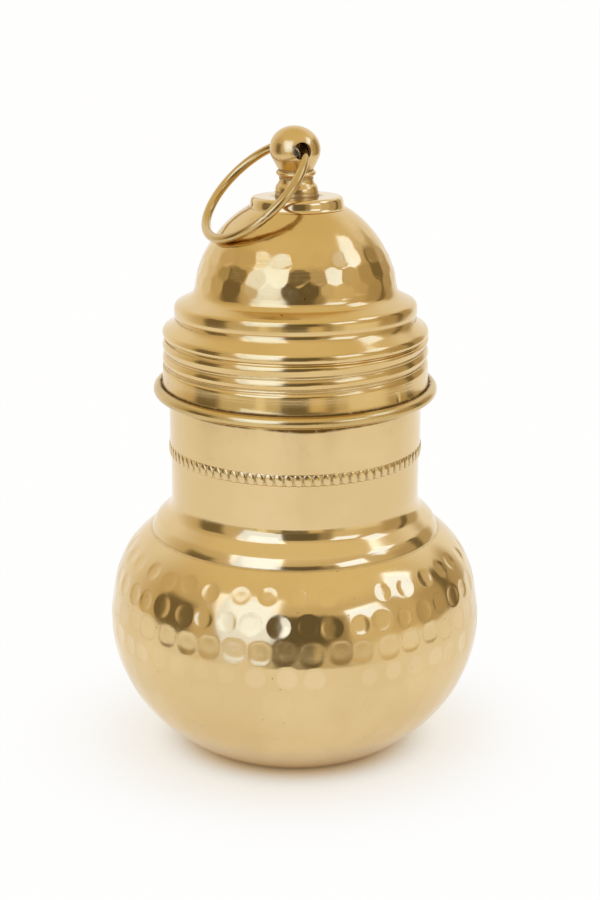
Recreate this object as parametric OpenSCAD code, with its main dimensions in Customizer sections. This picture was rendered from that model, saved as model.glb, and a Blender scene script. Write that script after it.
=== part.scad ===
// Screw-lidded brass water pot: hammered bowl, ring collar, beaded neck, domed lid and carrying ring.
// Millimetres, +Z up, origin at the centre of the base on the table.

/* [Bowl] */
// Diameter at the widest line
belly_diameter = 114; // [104:1:126]
// Height of the widest line above the table
belly_height = 41; // [36:0.5:46]
// Diameter at which the lower curve meets the table
base_diameter = 56.5; // [46:0.5:66]
// Width of the soft corner around the base
base_corner = 3.4; // [1.5:0.1:5]
// Rise of the upper curve, measured as if it closed over the axis
shoulder_rise = 38; // [34:0.5:42]
// Fullness of the shoulder, 2 is an ellipse
shoulder_fullness = 2.6; // [2.2:0.05:3]
// Sheet thickness of the bowl
bowl_wall = 1.2; // [0.8:0.1:2]

/* [Collar] */
// Diameter of the collar's foot on the shoulder
collar_diameter = 88; // [85:0.5:92]
// Height of the collar above the bowl's lip
collar_height = 6.5; // [5:0.1:9]
// Height of the ledge that the neck stands on
collar_ledge = 1.2; // [0.8:0.1:2]

/* [Neck] */
// Outside diameter of the neck below the bead row
neck_diameter = 75.7; // [72:0.1:77]
// Sheet thickness of the neck
neck_wall = 1; // [0.8:0.05:1.4]
// Neck length from the collar's top edge to the mouth
neck_length = 51; // [46:0.5:60]
// Extra radius of the neck above the bead row
neck_step = 0.4; // [0.2:0.05:0.6]
// Height of the bead row's middle above the collar
bead_height = 17; // [10:0.5:20]
// Number of beads around the neck
bead_count = 85; // [60:1:96]
// Height of each bead
bead_length = 3.6; // [2.4:0.1:5]
// How far the beads stand out from the upper neck
bead_stand = 0.45; // [0.3:0.05:0.7]

/* [Thread] */
// Rise of the rolled thread in one turn
thread_pitch = 4; // [3.2:0.1:5]
// Depth of the rolled thread
thread_depth = 0.8; // [0.5:0.05:1]
// Radial clearance between the neck's thread and the lid's
thread_clearance = 0.4; // [0.35:0.05:0.6]
// Height of the neck's threaded sleeve
sleeve_height = 12.5; // [10:0.5:13]

/* [Lid] */
// Height of the threaded part of the lid's skirt
skirt_thread = 10; // [8:0.5:12]
// Height of the plain band under the thread
band_height = 5.3; // [4:0.1:8]
// Sheet thickness of the skirt
skirt_wall = 0.7; // [0.5:0.05:0.9]
// Wire diameter of the lid's bottom rim
rim_wire = 3.7; // [2.8:0.1:4.4]
// How far the rim stands out from the band
rim_overhang = 2.75; // [2:0.05:3.2]
// Height of the lower step moulding
lower_step = 5.2; // [4.6:0.1:6.5]
// Height of the upper step moulding
upper_step = 8.6; // [7.5:0.1:10]
// Sheet thickness of the domed cap
cap_wall = 1; // [0.8:0.05:1.2]
// Diameter of the dome where it meets the upper step
dome_foot = 61.2; // [58:0.2:63]
// Radius of the dome's curve
dome_radius = 29.6; // [28.5:0.1:31]
// Height from the upper step to the flat top of the dome
dome_height = 25.1; // [23.5:0.1:26.5]

/* [Seal] */
// Height of the sealing ring
seal_height = 3.6; // [2.5:0.1:4]
// Width of the sealing ring
seal_width = 3.6; // [2.8:0.1:5]

/* [Knob] */
// Diameter of the disc under the knob
disc_diameter = 27.2; // [22:0.2:28]
// Thickness of the disc
disc_thickness = 2.8; // [2:0.1:4]
// Height of the knob's stem, from the disc to the middle of the ball
stem_height = 14.4; // [13:0.1:17]
// Width of the ball
ball_diameter = 15; // [14:0.1:16]
// Height of the ball
ball_height = 13.6; // [13:0.1:15]
// Cross hole that the carrying ring passes through
hole_diameter = 5.2; // [5:0.1:6]
// Diameter of the stud below the knob
stud_diameter = 5; // [4:0.1:6]
// Extra radius of the holes around the stud
stud_clearance = 0.15; // [0.1:0.05:0.3]
// Width of the nut across its flats
nut_width = 8; // [7.5:0.1:10]
// Height of the nut
nut_height = 4; // [3:0.1:5]

/* [Carrying ring] */
// Diameter of the ring along the middle of its wire
ring_diameter = 37.6; // [36:0.2:42]
// Wire diameter of the ring
ring_wire = 2.6; // [2:0.1:2.7]
// Sideways twist of the ring in its hole, in degrees
ring_twist = 5; // [0:0.5:6]
// Clearance between the leaning ring and the dome
ring_clearance = 0.3; // [0.25:0.05:1]

/* [Hidden] */
$fn = 96;
brass = [0.83, 0.69, 0.40];
wire_brass = [0.72, 0.57, 0.29];
rubber = [0.16, 0.15, 0.14];

belly_r = belly_diameter / 2;
base_r = base_diameter / 2;
lower_depth = belly_height / sin(acos(base_r / belly_r));
collar_r = collar_diameter / 2;
neck_r = neck_diameter / 2;
upper_r = neck_r + neck_step;
bore_r = neck_r - neck_wall;
lip_r = neck_r + 2.65;
lip_z = shoulder_z(lip_r);
ledge_z = lip_z + collar_ledge;
collar_z = lip_z + collar_height;
bead_z = collar_z + bead_height;
mouth_z = collar_z + neck_length;
sleeve_z = mouth_z - sleeve_height;
sleeve_bore = upper_r - 0.85;

// Thread radii from the neck outwards, each from the one before it
neck_root = upper_r + 0.05;
skirt_root = neck_root + thread_clearance;
skirt_out = skirt_root + skirt_wall;
band_r = skirt_out + thread_depth + 0.1;
skirt_top = mouth_z + 1.3;
thread_low = skirt_top - skirt_thread;
band_low = thread_low - band_height;
rim_r = band_r + rim_overhang - rim_wire / 2;
rim_z = band_low - sqrt(pow(rim_wire / 2, 2) - pow(rim_r - band_r, 2)) - 0.02;

step_z = skirt_top + lower_step;
dome_z = step_z + upper_step;
cap_top = dome_z + dome_height;
foot_r = dome_foot / 2;
disc_r = disc_diameter / 2;
seat_r = disc_r + 0.2;
// Middle of the dome's curve, below its flat top by the height of the arc over the seat
dome_mid = cap_top - sqrt(pow(dome_radius, 2) - pow(seat_r, 2));
disc_top = cap_top + disc_thickness;
ball_z = disc_top + stem_height;
ball_r = ball_diameter / 2;
stud_r = stud_diameter / 2;
stud_hole = stud_r + stud_clearance;
washer_height = 1;
nut_top = cap_top - cap_wall - washer_height;

wire_r = ring_wire / 2;
ring_r = ring_diameter / 2;
// The wire sits off the hole's axis, so that its bend clears the hole's middle and both mouths
ring_reach = ring_r - (hole_diameter / 2 - wire_r - 0.3);
ring_lean = ring_rest(20, 70, 24);

// Height of the bowl's outside at radius r, above the widest line
function shoulder_z(r, rad = belly_r, rise = shoulder_rise) =
  belly_height + rise * pow(1 - pow(r / rad, shoulder_fullness), 1 / shoulder_fullness);

// Points of the upper curve from radius r0 to radius r1
function shoulder(r0, r1, n, rad, rise) =
  let (e = shoulder_fullness / 2, t0 = acos(pow(r0 / rad, e)), t1 = acos(pow(r1 / rad, e)))
  [for (i = [0 : n])
    let (t = t0 + (t1 - t0) * i / n)
    [rad * pow(cos(t), 1 / e), belly_height + rise * pow(sin(t), 1 / e)]];

// Points of the lower ellipse from angle t0 up to the widest line
function lower_curve(t0, n, rad, depth) =
  [for (i = [0 : n])
    let (t = t0 * (1 - i / n))
    [rad * cos(t), belly_height + depth * sin(t)]];

// Smooth bend from a to c, pulled towards b
function bend(a, b, c, n) =
  [for (i = [0 : n])
    let (t = i / n)
    (1 - t) * (1 - t) * a + 2 * t * (1 - t) * b + t * t * c];

// Arc about [x, z] from angle a0 to angle a1
function arc(x, z, rad, a0, a1, n) =
  [for (i = [0 : n])
    let (a = a0 + (a1 - a0) * i / n)
    [x + rad * cos(a), z + rad * sin(a)]];

function unit(v) = v / norm(v);
function left_of(v) = [-v[1], v[0]];
function backwards(list) = [for (i = [len(list) - 1 : -1 : 0]) list[i]];

// The same outline moved sideways by the sheet's thickness
function inset(list, t) =
  [for (i = [0 : len(list) - 1])
    let (
      before = unit(list[max(i, 1)] - list[max(i, 1) - 1]),
      after = unit(list[min(i + 1, len(list) - 1)] - list[min(i, len(list) - 2)]),
      way = left_of(unit(before + after)))
    list[i] + way * t / (left_of(before) * way)];

function ease(t) = let (u = min(1, max(0, t))) u * u * (3 - 2 * u);

// Height of the thread's wave, 0 at the root and 1 at the crest, rising to the right
function wave(a, z) = 0.5 + 0.5 * cos(360 * (z - skirt_top + 1) / thread_pitch - a);

// The lid's wave starts from the plain band and dies away under the lower step
function lid_wave(a, z) =
  let (up = ease((z - thread_low) / 1.2))
  (1 - up + up * wave(a, z)) * ease((skirt_top - z) / 0.8);

// The neck's wave dies away at both ends of the sleeve
function neck_wave(a, z) = wave(a, z) * ease((z - sleeve_z - 0.6) / 1.4) * ease((mouth_z - z) / 1.2);

function skirt_radius(a, z) =
  z < thread_low ? band_r : min(band_r, skirt_out + (thread_depth + 0.1 * ease((thread_low + 1.2 - z) / 1.2)) * lid_wave(a, z));

function rows(z0, z1, step) = let (n = ceil((z1 - z0) / step)) [for (i = [0 : n]) z0 + (z1 - z0) * i / n];

// Gap between the leaning ring's wire and the dome
function ring_gap(lean) =
  let (
    middle = [-ring_reach * cos(lean), 0, -ring_reach * sin(lean)],
    across = [-cos(ring_twist) * sin(lean), -sin(ring_twist), cos(ring_twist) * cos(lean)],
    way = [0, 0, dome_mid - ball_z] - middle,
    off = way * across)
  norm([norm(way - off * across) - ring_r, off]) - dome_radius - wire_r;

// Lean at which the ring comes to rest, found by halving
function ring_rest(low, high, n) =
  n == 0 ? low :
  let (mid = (low + high) / 2)
  ring_gap(mid) > ring_clearance ? ring_rest(mid, high, n - 1) : ring_rest(low, mid, n - 1);

// Closed wall between two stacks of rings of points, both listed from the bottom up
module sleeve_wall(outer, inner) {
  n = len(outer[0]);
  m = len(outer);
  k = len(inner);
  o = m * n;
  points = concat([for (row = outer) each row], [for (row = inner) each row]);
  outside = [for (i = [0 : m - 2], j = [0 : n - 1])
    let (a = i * n + j, b = i * n + (j + 1) % n)
    each [[a, a + n, b + n], [a, b + n, b]]];
  inside = [for (i = [0 : k - 2], j = [0 : n - 1])
    let (a = o + i * n + j, b = o + i * n + (j + 1) % n)
    each [[a, b + n, a + n], [a, b, b + n]]];
  bottom = [for (j = [0 : n - 1])
    let (a = j, b = (j + 1) % n)
    each [[a, b, o + b], [a, o + b, o + a]]];
  top = [for (j = [0 : n - 1])
    let (a = (m - 1) * n + j, b = (m - 1) * n + (j + 1) % n, c = o + (k - 1) * n + j, d = o + (k - 1) * n + (j + 1) % n)
    each [[a, c, d], [a, d, b]]];
  polyhedron(points, concat(outside, inside, bottom, top), convexity = 6);
}

function ring_of_points(r, z, n) = [for (j = [0 : n - 1]) [r * cos(360 * j / n), r * sin(360 * j / n), z]];

module bowl() {
  start = -acos(base_r / belly_r) + 4;
  lower = lower_curve(start, 26, belly_r, lower_depth);
  corner = bend([base_r - base_corner, 0], [base_r, 0], lower[0], 6);
  upper = shoulder(belly_r, collar_r, 20, belly_r, shoulder_rise);
  under_collar = shoulder(collar_r, lip_r, 4, belly_r, shoulder_rise);
  in_r = belly_r - bowl_wall;
  in_rise = shoulder_rise - bowl_wall;
  in_depth = lower_depth - bowl_wall;
  in_lip = in_r * pow(1 - pow((lip_z - belly_height) / in_rise, shoulder_fullness), 1 / shoulder_fullness);
  floor_angle = -asin((belly_height - bowl_wall) / in_depth);
  in_lower = lower_curve(floor_angle, 26, in_r, in_depth);
  in_upper = shoulder(in_r, in_lip, 22, in_r, in_rise);
  color(brass)
    rotate_extrude()
      polygon(concat(
        [[0, 0]], corner,
        [for (i = [1 : len(lower) - 1]) lower[i]],
        [for (i = [1 : len(upper) - 1]) upper[i]],
        [for (i = [1 : len(under_collar) - 1]) under_collar[i]],
        backwards([for (i = [1 : len(in_upper) - 1]) in_upper[i]]),
        backwards(in_lower),
        [[0, bowl_wall]]));
}

module collar() {
  foot = shoulder(collar_r, lip_r, 4, belly_r, shoulder_rise);
  edge_r = neck_r + 0.3;
  waist = [neck_r + 0.3 * (collar_r - neck_r), collar_z - 0.36 * (collar_z - foot[0][1])];
  cove = bend([edge_r, collar_z], [edge_r + 0.1, waist[1] + 0.9], waist, 8);
  swell = bend(waist, [collar_r - 1.3, waist[1] - 2.1], foot[0], 10);
  color(brass)
    rotate_extrude()
      polygon(concat(
        foot,
        [[bore_r + 0.05, lip_z], [bore_r + 0.05, ledge_z], [neck_r + 0.05, ledge_z], [neck_r + 0.05, collar_z]],
        cove,
        [for (i = [1 : len(swell) - 2]) swell[i]]));
}

module neck_tube() {
  color(brass)
    rotate_extrude()
      polygon([
        [bore_r, ledge_z], [neck_r, ledge_z],
        [neck_r, bead_z], [upper_r, bead_z],
        [upper_r, sleeve_z], [sleeve_bore - 0.1, sleeve_z],
        [sleeve_bore - 0.1, mouth_z], [bore_r, mouth_z]]);
}

module bead_band() {
  bead_r = 0.45 * 2 * PI * upper_r / bead_count;
  low = bead_z - bead_length / 2;
  color(brass)
    difference() {
      union() {
        translate([0, 0, low])
          cylinder(r = upper_r + 0.15, h = bead_length, $fn = 360);
        for (i = [0 : bead_count - 1])
          rotate([0, 0, 360 * (i + 0.5) / bead_count])
            translate([upper_r + bead_stand - bead_r, 0, low + 0.2])
              cylinder(r = bead_r, h = bead_length - 0.4, $fn = 24);
      }
      translate([0, 0, low - 1])
        cylinder(r = neck_r + 0.02, h = bead_length + 2, $fn = 360);
      translate([0, 0, bead_z - 0.02])
        cylinder(r = upper_r + 0.02, h = bead_length, $fn = 360);
    }
}

module mouth_thread() {
  n = 72;
  outer = [for (z = rows(sleeve_z, mouth_z, thread_pitch / 8))
    [for (j = [0 : n - 1])
      let (a = 360 * j / n, r = neck_root + thread_depth * neck_wave(a, z))
      [r * cos(a), r * sin(a), z]]];
  color(brass)
    sleeve_wall(outer, [ring_of_points(sleeve_bore, sleeve_z, n), ring_of_points(sleeve_bore, mouth_z, n)]);
}

module seal_ring() {
  out_r = skirt_root - 0.7;
  in_r = out_r - seal_width;
  color(rubber)
    rotate_extrude()
      polygon([
        [in_r, mouth_z], [out_r, mouth_z],
        [out_r, mouth_z + seal_height - 0.8],
        [out_r - 0.95, mouth_z + seal_height], [in_r, mouth_z + seal_height]]);
}

module lid_skirt() {
  n = 72;
  heights = concat([band_low], rows(thread_low, skirt_top, thread_pitch / 8));
  outer = [for (z = heights)
    [for (j = [0 : n - 1])
      let (a = 360 * j / n, r = skirt_radius(a, z))
      [r * cos(a), r * sin(a), z]]];
  inner = [for (z = heights)
    [for (j = [0 : n - 1])
      let (a = 360 * j / n, r = skirt_radius(a, z) - skirt_wall)
      [r * cos(a), r * sin(a), z]]];
  color(brass)
    sleeve_wall(outer, inner);
}

module rim_ring() {
  color(wire_brass)
    translate([0, 0, rim_z])
      rotate_extrude()
        translate([rim_r, 0])
          circle(d = rim_wire, $fn = 48);
}

module lid_cap() {
  swell_r = skirt_out + thread_depth - 0.05;
  ledge_r = swell_r - 3.55;
  slope_r = foot_r + 0.72 * (ledge_r - foot_r);
  dome_low = 90 - asin(seat_r / dome_radius);
  dome_end = asin((0.255 * dome_height + dome_z - dome_mid) / dome_radius);
  outline = concat(
    [[skirt_out, skirt_top], [skirt_out, skirt_top + 0.25]],
    bend([swell_r, skirt_top + 0.9], [swell_r, skirt_top + 2], [swell_r - 0.9, skirt_top + 2.4], 6),
    [[ledge_r - 0.55, step_z]],
    bend([ledge_r - 0.3, step_z + 0.4], [ledge_r, step_z + 0.7], [ledge_r, step_z + 1.3], 4),
    bend([ledge_r, step_z + 3], [ledge_r, step_z + 4], [slope_r + 0.6, step_z + 4.65], 6),
    bend([slope_r, step_z + 4.95], [foot_r + 0.8, dome_z - 1.4], [foot_r, dome_z], 6),
    arc(0, dome_mid, dome_radius, dome_end, dome_low, 26),
    [[stud_hole, cap_top]]);
  color(brass)
    rotate_extrude()
      polygon(concat(outline, backwards(inset(outline, cap_wall))));
}

module knob_disc() {
  edge = disc_thickness / 2;
  color(brass)
    rotate_extrude()
      polygon(concat(
        [[stud_hole, cap_top]],
        arc(disc_r - edge, cap_top + edge, edge, -90, 90, 14),
        [[stud_hole, disc_top]]));
}

module knob() {
  foot = ball_r - 0.85;
  bead = ball_r - 1.65;
  waist = ball_r - 2.3;
  low = disc_top + stem_height - ball_height / 2;
  flare = disc_top + 0.2 * stem_height;
  ball_start = asin(0.87);
  ball = [for (i = [0 : 20])
    let (a = -ball_start + (90 + ball_start) * i / 20)
    [ball_r * cos(a), ball_z + ball_height / 2 * sin(a)]];
  color(brass)
    difference() {
      rotate_extrude()
        polygon(concat(
          [[0, nut_top - nut_height - 1.2], [stud_r, nut_top - nut_height - 1.2], [stud_r, disc_top]],
          [[foot, disc_top], [foot, disc_top + 0.9]],
          bend([foot - 0.1, flare], [foot - 0.2, low - 2.6], [waist, low - 1.9], 6),
          [[waist, low - 1.5]],
          bend([bead - 0.25, low - 1.3], [bead + 0.25, low - 0.65], [bead - 0.25, low], 6),
          [[waist, low + 0.25]],
          [for (i = [1 : 20]) ball[i]]));
      translate([0, 0, ball_z])
        rotate([90, 0, 0])
          cylinder(d = hole_diameter, h = 4 * ball_r, center = true);
    }
}

module stud_washer() {
  color(brass)
    translate([0, 0, nut_top])
      difference() {
        cylinder(r = nut_width / 2 + 2, h = washer_height);
        translate([0, 0, -1])
          cylinder(r = stud_hole, h = washer_height + 2);
      }
}

module stud_nut() {
  color(brass)
    translate([0, 0, nut_top - nut_height])
      difference() {
        cylinder(r = nut_width / 2 / cos(30), h = nut_height, $fn = 6);
        translate([0, 0, -1])
          cylinder(r = stud_r + 0.05, h = nut_height + 2);
      }
}

module carry_ring() {
  color(wire_brass)
    translate([0, 0, ball_z])
      rotate([0, -ring_lean, 0])
        rotate([ring_twist, 0, 0])
          translate([-ring_reach, 0, 0])
            rotate_extrude()
              translate([ring_r, 0])
                circle(d = ring_wire, $fn = 48);
}

bowl();
collar();
neck_tube();
bead_band();
mouth_thread();
seal_ring();
lid_skirt();
rim_ring();
lid_cap();
knob_disc();
knob();
stud_washer();
stud_nut();
carry_ring();
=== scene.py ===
import bpy, bmesh, math, random
from mathutils import Matrix, Vector, kdtree


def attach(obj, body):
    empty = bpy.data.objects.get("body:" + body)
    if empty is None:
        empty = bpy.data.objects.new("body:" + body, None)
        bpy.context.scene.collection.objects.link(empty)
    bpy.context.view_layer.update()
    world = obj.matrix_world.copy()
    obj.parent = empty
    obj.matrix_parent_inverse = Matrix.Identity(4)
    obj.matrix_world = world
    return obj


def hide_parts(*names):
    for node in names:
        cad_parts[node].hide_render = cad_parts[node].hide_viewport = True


# Brass water pot: hammered bowl, ring collar, beaded neck, rolled screw lid, knob and carrying ring.
# Outlines are (radius, height) in millimetres from the pot's axis and the table.

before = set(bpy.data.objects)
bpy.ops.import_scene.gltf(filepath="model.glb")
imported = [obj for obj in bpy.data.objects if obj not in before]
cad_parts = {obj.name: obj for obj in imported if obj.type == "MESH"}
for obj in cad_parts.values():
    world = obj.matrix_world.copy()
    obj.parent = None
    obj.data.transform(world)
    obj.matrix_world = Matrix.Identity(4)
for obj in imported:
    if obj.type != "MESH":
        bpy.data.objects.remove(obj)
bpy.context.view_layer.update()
scene = bpy.context.scene
scene.view_settings.view_transform = "Standard"
mm = 0.001
print("frame loaded with", len(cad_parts), "nodes")


# outlines

def ease(t):
    t = min(1.0, max(0.0, t))
    return t * t * (3 - 2 * t)


def bend(a, b, c, n):                     # soft curve from a to c, pulled towards b
    line = []
    for i in range(n + 1):
        t = i / n
        p, q, s = (1 - t) * (1 - t), 2 * t * (1 - t), t * t
        line.append((p * a[0] + q * b[0] + s * c[0], p * a[1] + q * b[1] + s * c[1]))
    return line


def arcLine(x, z, rad, a0, a1, n):
    turns = [math.radians(a0 + (a1 - a0) * i / n) for i in range(n + 1)]
    return [(x + rad * math.cos(a), z + rad * math.sin(a)) for a in turns]


def stretch(a, b, n):                     # points on the way from a to b, without a itself
    return [(a[0] + (b[0] - a[0]) * i / n, a[1] + (b[1] - a[1]) * i / n) for i in range(1, n + 1)]


def insideLine(line, wall):               # the outline moved to its left by the sheet's thickness
    moved = []
    last = len(line) - 1
    for i in range(len(line)):
        ends = [(line[max(i, 1) - 1], line[max(i, 1)]), (line[min(i, last - 1)], line[min(i + 1, last)])]
        ways = [Vector((b[0] - a[0], b[1] - a[1])).normalized() for a, b in ends]
        middle = (ways[0] + ways[1]).normalized()
        side = Vector((-middle.y, middle.x))
        along = max(0.5, Vector((-ways[0].y, ways[0].x)).dot(side))
        moved.append((line[i][0] + side.x * wall / along, line[i][1] + side.y * wall / along))
    return moved


# mesh helpers

def spinOutline(line, steps):             # outline turned round the axis, an eighth first, then doubled
    bm = bmesh.new()
    verts = [bm.verts.new((r * mm, 0, z * mm)) for r, z in line]
    edges = [bm.edges.new((a, b)) for a, b in zip(verts, verts[1:])]
    if line[0][0] > 0 or line[-1][0] > 0:
        edges.append(bm.edges.new((verts[-1], verts[0])))
    bmesh.ops.spin(bm, geom=verts + edges, cent=(0, 0, 0), axis=(0, 0, 1),
                   angle=math.pi / 4, steps=steps // 8)
    for turn in (math.pi / 4, math.pi / 2, math.pi):
        copy = bmesh.ops.duplicate(bm, geom=bm.verts[:] + bm.edges[:] + bm.faces[:])
        fresh = [item for item in copy["geom"] if isinstance(item, bmesh.types.BMVert)]
        bmesh.ops.rotate(bm, verts=fresh, cent=(0, 0, 0), matrix=Matrix.Rotation(turn, 3, "Z"))
    bmesh.ops.remove_doubles(bm, verts=bm.verts, dist=1e-7)
    bmesh.ops.recalc_face_normals(bm, faces=bm.faces)
    bm.normal_update()
    return bm


def pushMarks(skin, marks):               # hammer marks pressed into the skin
    spots = kdtree.KDTree(len(skin))
    for i, v in enumerate(skin):
        spots.insert(v.co, i)
    spots.balance()
    depths, shines, rings = [0.0] * len(skin), [0.0] * len(skin), [0.0] * len(skin)
    ways = [v.normal.copy() for v in skin]
    for place, radius, depth, wide, flat, square, shine, ring in marks:
        for co, i, gap in spots.find_range(place, radius * 1.25):
            off = co - place
            up = abs(off.z)
            across = math.sqrt(max(0.0, off.length_squared - up * up)) / wide
            t = (across ** square + up ** square) ** (2 / square) / (radius * radius)
            rings[i] = max(rings[i], ring * math.exp(-((t - 0.95) / 0.10) ** 2))   # darker ring round the mark
            if t < 1:
                depths[i] = max(depths[i], depth * (1 - t ** flat))
                # painted sheen inside the mark
                shines[i] = max(shines[i], shine * (1 - t ** 5))
    for v, way, depth in zip(skin, ways, depths):
        v.co -= way * depth
    return shines, rings


def pressFlats(skin, flats):              # planishing flats: the skin is cut down to each flat's plane
    spots = kdtree.KDTree(len(skin))
    for i, v in enumerate(skin):
        spots.insert(v.co, i)
    spots.balance()
    for place, way, reach, sag in flats:
        for co, i, gap in spots.find_range(place, reach):
            over = (skin[i].co - place).dot(way) + sag
            if over > 0:
                skin[i].co -= way * over


# creases hold dirt, and some of them painted shade; worn edges shine, and the bowl's hammer marks hold painted sheen:
# each is radius, height, width and strength
def addPiece(bm, name, body, node, finish, sharp=32, creases=(), wearAndSheen=(), grimeAndShade=None):
    mesh = bpy.data.meshes.new(name)
    bm.to_mesh(mesh)
    bm.free()
    mesh.polygons.foreach_set("use_smooth", [True] * len(mesh.polygons))
    mesh.set_sharp_from_angle(angle=math.radians(sharp))
    for label, lines in (("crease", creases), ("wearAndSheen", wearAndSheen)):
        layer = mesh.attributes.new(label, "FLOAT", "POINT")
        amounts = []
        for v in mesh.vertices:
            r, z = math.hypot(v.co.x, v.co.y) / mm, v.co.z / mm
            near = [s * math.exp(-((r - lr) ** 2 + (z - lz) ** 2) / (w * w)) for lr, lz, w, s in lines]
            if grimeAndShade and label == "crease":
                near.append(grimeAndShade(r, z, math.atan2(v.co.y, v.co.x)))
            amounts.append(max(near, default=0.0))
        layer.data.foreach_set("value", amounts)
    piece = bpy.data.objects.new(name, mesh)
    scene.collection.objects.link(piece)
    mesh.materials.append(finish)
    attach(piece, body)
    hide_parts(node)
    print("made", name, len(mesh.polygons), "faces")
    return piece


# finishes

def addNode(tree, kind, props=None, values=None):
    node = tree.nodes.new("ShaderNode" + kind)
    for key, value in (props or {}).items():
        setattr(node, key, value)
    for key, value in (values or {}).items():
        node.inputs[key].default_value = value
    return node


def mixTone(tree, amount, a, b, blend="MIX"):
    node = addNode(tree, "Mix", {"data_type": "RGBA", "blend_type": blend})
    for socket, value in ((node.inputs[0], amount), (node.inputs[6], a), (node.inputs[7], b)):
        if isinstance(value, bpy.types.NodeSocket):
            tree.links.new(value, socket)
        else:
            socket.default_value = value if isinstance(value, float) else (*value, 1)
    return node.outputs[2]


def sumUp(tree, kind, a, b):
    node = addNode(tree, "Math", {"operation": kind})
    for socket, value in ((node.inputs[0], a), (node.inputs[1], b)):
        if isinstance(value, bpy.types.NodeSocket):
            tree.links.new(value, socket)
        else:
            socket.default_value = value
    return node.outputs[0]


def remap(tree, value, low, high, toLow, toHigh, smooth=False):
    node = addNode(tree, "MapRange", {"interpolation_type": "SMOOTHSTEP" if smooth else "LINEAR"},
                   {"From Min": low, "From Max": high, "To Min": toLow, "To Max": toHigh})
    tree.links.new(value, node.inputs["Value"])
    return node.outputs["Result"]


def cloud(tree, place, stretchBy, scale, detail, distortion=0.0):   # noise, drawn out along an axis
    mapping = addNode(tree, "Mapping", None, {"Scale": stretchBy})
    tree.links.new(place, mapping.inputs["Vector"])
    noise = addNode(tree, "TexNoise", None, {"Scale": scale, "Detail": detail, "Distortion": distortion})
    tree.links.new(mapping.outputs[0], noise.inputs["Vector"])
    return noise.outputs[0]


brassLooks = {                            # turned, beaten and pits: depths in thousandths of a millimetre
    "hammeredBrass": {"pale": (0.755, 0.562, 0.284), "deep": (0.705, 0.512, 0.246), "rough": (0.095, 0.160),
                      "turned": 2.8, "beaten": 9, "pits": 16, "pitShare": 0.40, "pitScale": 260, "lines": 2400},
    "polishedBrass": {"pale": (0.760, 0.573, 0.300), "deep": (0.720, 0.528, 0.262), "rough": (0.090, 0.160),
                      "turned": 1.8, "beaten": 3, "pits": 8, "pitShare": 0.93, "pitScale": 150, "lines": 2400},
    "spunBrass": {"pale": (0.732, 0.530, 0.245), "deep": (0.684, 0.480, 0.206), "rough": (0.115, 0.185),
                  "turned": 13, "beaten": 6, "pits": 14, "pitShare": 0.82, "pitScale": 150, "lines": 1500},
    "wireBrass": {"pale": (0.665, 0.480, 0.218), "deep": (0.575, 0.400, 0.167), "rough": (0.130, 0.210),
                  "turned": 1.2, "beaten": 8, "pits": 10, "pitShare": 0.85, "pitScale": 150, "lines": 2400},
    "rimBrass": {"pale": (0.640, 0.455, 0.190), "deep": (0.550, 0.380, 0.145), "rough": (0.150, 0.230),
                 "turned": 2.2, "beaten": 8, "pits": 12, "pitShare": 0.80, "pitScale": 150, "lines": 2400},
    "satinBrass": {"pale": (0.715, 0.510, 0.232), "deep": (0.655, 0.450, 0.188), "rough": (0.185, 0.260),
                   "turned": 2.6, "beaten": 4, "pits": 10, "pitShare": 0.88, "pitScale": 150, "lines": 2400},
    "plainBrass": {"pale": (0.680, 0.490, 0.230), "deep": (0.590, 0.410, 0.175), "rough": (0.220, 0.340),
                   "turned": 3, "beaten": 4, "pits": 10, "pitShare": 0.85, "pitScale": 150, "lines": 2400},
}
brassWear = {"wearAndSheen": (0.82, 0.65, 0.38), "dirtAndShade": (0.150, 0.076, 0.012), "pit": (0.120, 0.070, 0.030)}


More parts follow.
